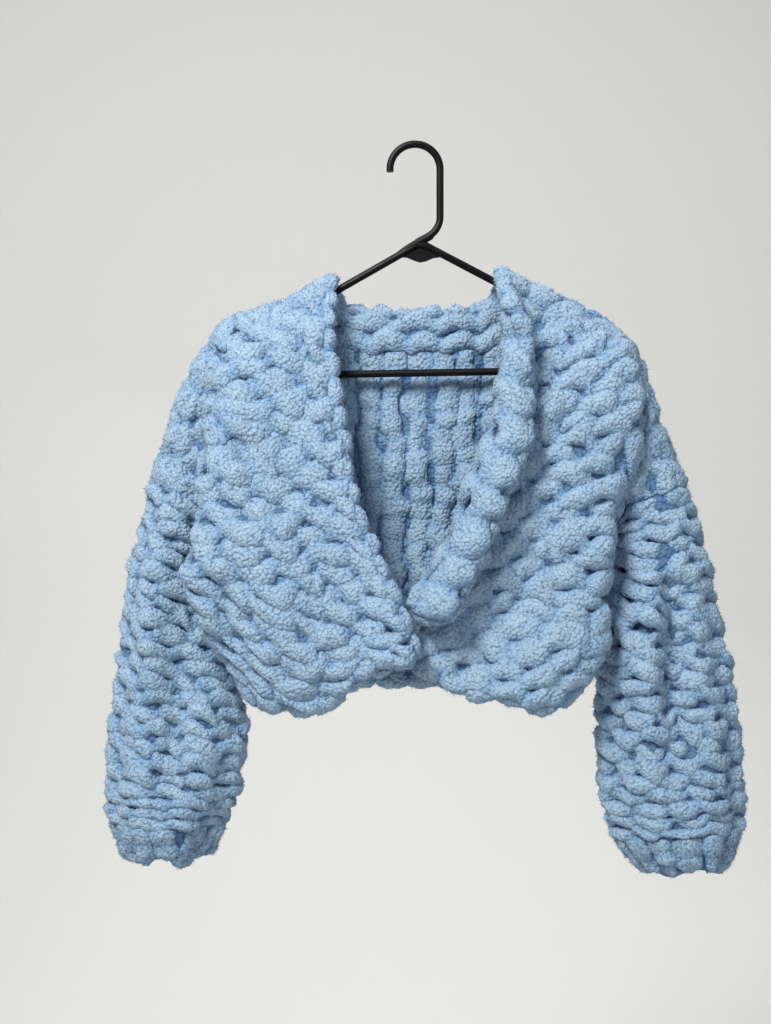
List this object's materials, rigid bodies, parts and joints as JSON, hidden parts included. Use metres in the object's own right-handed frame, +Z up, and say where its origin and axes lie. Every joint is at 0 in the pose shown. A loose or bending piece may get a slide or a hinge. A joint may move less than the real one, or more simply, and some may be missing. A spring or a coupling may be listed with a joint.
{
  "type": "knitted bolero on a clothes hanger",
  "caption": "Cropped open-front bolero in super-chunky pale blue chenille knit, with full sleeves and a shawl collar turned out on one side, on a black tubular hanger",
  "frame": {"origin": "the inner top of the hanger's hook, where a peg or rail holds it", "axes": "+Z up, the garment's open front faces -Y, +X to the right as seen from the front"},
  "size_m": [0.6377, 0.1252, 0.7344],
  "materials": {
    "knit": "plush chenille yarn, matte",
    "hanger": "moulded, low sheen"
  },
  "bodies": {
    "root": {"back": "knit", "front_left": "knit", "front_right": "knit", "sleeve_left": "knit", "sleeve_right": "knit", "cuff_left": "knit", "cuff_right": "knit", "collar": "knit", "hanger_arm_left": "hanger", "hanger_arm_right": "hanger", "hanger_bar": "hanger", "hanger_hook": "hanger", "hanger_web": "hanger"}
  },
  "joints": []
}
